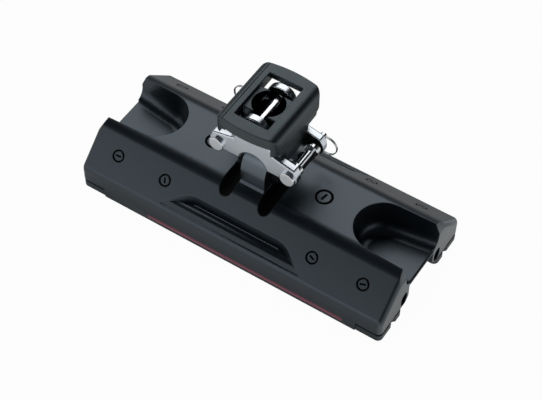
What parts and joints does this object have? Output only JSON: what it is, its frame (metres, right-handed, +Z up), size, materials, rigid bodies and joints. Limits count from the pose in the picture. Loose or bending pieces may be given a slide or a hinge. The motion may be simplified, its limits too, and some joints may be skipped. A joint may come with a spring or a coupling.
{
  "type": "ball bearing track car with toggle",
  "caption": "Long black ball bearing track car with end scoops, slotted screws and a tilting stainless toggle in a stand-up boot.",
  "frame": {"origin": "underside of the car, below the middle of its length and width", "axes": "+X along the track, +Y across it towards the back in the picture, +Z up away from the track"},
  "size_m": [0.2546, 0.11, 0.1205],
  "materials": {
    "body": "hard anodised, satin",
    "cap": "moulded, satin",
    "fastener": "plain stainless",
    "dark_fastener": "blackened stainless, satin",
    "race": "hard anodised",
    "ball": "moulded bearing plastic",
    "stripe": "printed, satin",
    "toggle": "tumbled stainless, satin",
    "boot": "moulded, satin",
    "bush": "plain bearing plastic",
    "pin": "polished stainless"
  },
  "bodies": {
    "car": {"car_body": "body", "front_left_cap": "cap", "front_right_cap": "cap", "back_left_cap": "cap", "back_right_cap": "cap", "cap_screws": "fastener", "front_race": "race", "back_race": "race", "front_balls": "ball", "back_balls": "ball", "front_slope_screws": "dark_fastener", "back_slope_screws": "dark_fastener", "deck_screws": "dark_fastener", "front_stripe": "stripe", "back_stripe": "stripe", "hinge_bush": "bush"},
    "toggle": {"toggle_body": "toggle", "boot": "boot"},
    "hinge_pin": {"hinge_pin": "pin", "hinge_clips": "pin"},
    "centre_pin": {"centre_pin": "pin", "centre_clips": "pin"},
    "left_pin": {"left_pin": "pin"},
    "left_ring": {"left_ring": "pin"},
    "front_left_spacer": {"front_left_spacer": "pin"},
    "back_left_spacer": {"back_left_spacer": "pin"},
    "right_pin": {"right_pin": "pin"},
    "right_ring": {"right_ring": "pin"},
    "front_right_spacer": {"front_right_spacer": "pin"},
    "back_right_spacer": {"back_right_spacer": "pin"}
  },
  "joints": [
    {"name": "toggle_tilt", "type": "hinge", "parent": "car", "child": "toggle", "pos_m": [-0.0006, 0, 0.06], "axis": [1, 0, 0], "range_deg": [-27, 27], "stiffness_Nm_per_rad": 0.9},
    {"name": "hinge_pin_turn", "type": "hinge", "parent": "toggle", "child": "hinge_pin", "pos_m": [-0.0006, 0, 0.06], "axis": [1, 0, 0], "continuous": true},
    {"name": "centre_pin_turn", "type": "hinge", "parent": "toggle", "child": "centre_pin", "pos_m": [-0.0006, 0, 0.1085], "axis": [0, 1, 0], "continuous": true},
    {"name": "left_pin_turn", "type": "hinge", "parent": "toggle", "child": "left_pin", "pos_m": [-0.0297, 0, 0.0778], "axis": [0, 1, 0], "continuous": true},
    {"name": "left_ring_swing", "type": "hinge", "parent": "left_pin", "child": "left_ring", "pos_m": [-0.0297, 0.0246, 0.0778], "axis": [-0.4226, 0, -0.9063], "range_deg": [-10, 100]},
    {"name": "front_left_spacer_turn", "type": "hinge", "parent": "toggle", "child": "front_left_spacer", "pos_m": [-0.0297, 0, 0.0778], "axis": [0, 1, 0], "continuous": true},
    {"name": "back_left_spacer_turn", "type": "hinge", "parent": "toggle", "child": "back_left_spacer", "pos_m": [-0.0297, 0, 0.0778], "axis": [0, 1, 0], "continuous": true},
    {"name": "right_pin_turn", "type": "hinge", "parent": "toggle", "child": "right_pin", "pos_m": [0.0285, 0, 0.0778], "axis": [0, 1, 0], "continuous": true},
    {"name": "right_ring_swing", "type": "hinge", "parent": "right_pin", "child": "right_ring", "pos_m": [0.0285, 0.0246, 0.0778], "axis": [0.866, 0, 0.5], "range_deg": [-10, 100]},
    {"name": "front_right_spacer_turn", "type": "hinge", "parent": "toggle", "child": "front_right_spacer", "pos_m": [0.0285, 0, 0.0778], "axis": [0, 1, 0], "continuous": true},
    {"name": "back_right_spacer_turn", "type": "hinge", "parent": "toggle", "child": "back_right_spacer", "pos_m": [0.0285, 0, 0.0778], "axis": [0, 1, 0], "continuous": true}
  ]
}
